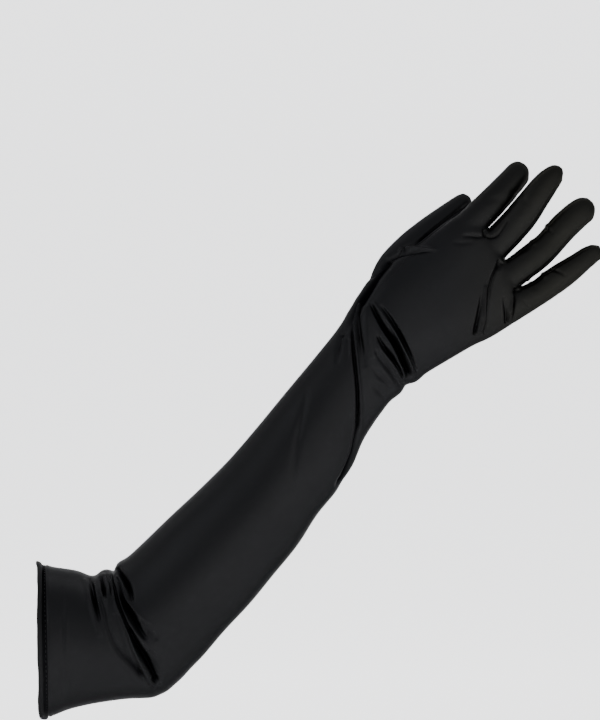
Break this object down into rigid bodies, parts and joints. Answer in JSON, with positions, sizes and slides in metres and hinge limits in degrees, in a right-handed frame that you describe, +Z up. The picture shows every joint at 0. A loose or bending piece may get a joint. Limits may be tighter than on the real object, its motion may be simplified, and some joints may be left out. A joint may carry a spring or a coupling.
{
  "type": "evening glove",
  "caption": "Long black stretch satin evening glove for the right hand, in its worn form, with a bent sleeve, set-in thumb and turned hem.",
  "frame": {"origin": "centre of the arm opening, at the free edge of the hem", "axes": "+X from the arm opening towards the elbow, +Z up, +Y from the back of the hand to the palm side"},
  "size_m": [0.3816, 0.0918, 0.3702],
  "materials": {
    "black_satin": "black stretch satin with a soft broad sheen",
    "hem_satin": "the same black satin, folded and stitched, a little duller"
  },
  "bodies": {
    "root": {"upper_sleeve": "black_satin", "forearm_sleeve": "black_satin", "hand": "black_satin", "index_finger": "black_satin", "middle_finger": "black_satin", "ring_finger": "black_satin", "little_finger": "black_satin", "thumb": "black_satin", "fourchette_index_middle": "black_satin", "fourchette_middle_ring": "black_satin", "fourchette_ring_little": "black_satin", "hem_band": "hem_satin"}
  },
  "joints": []
}
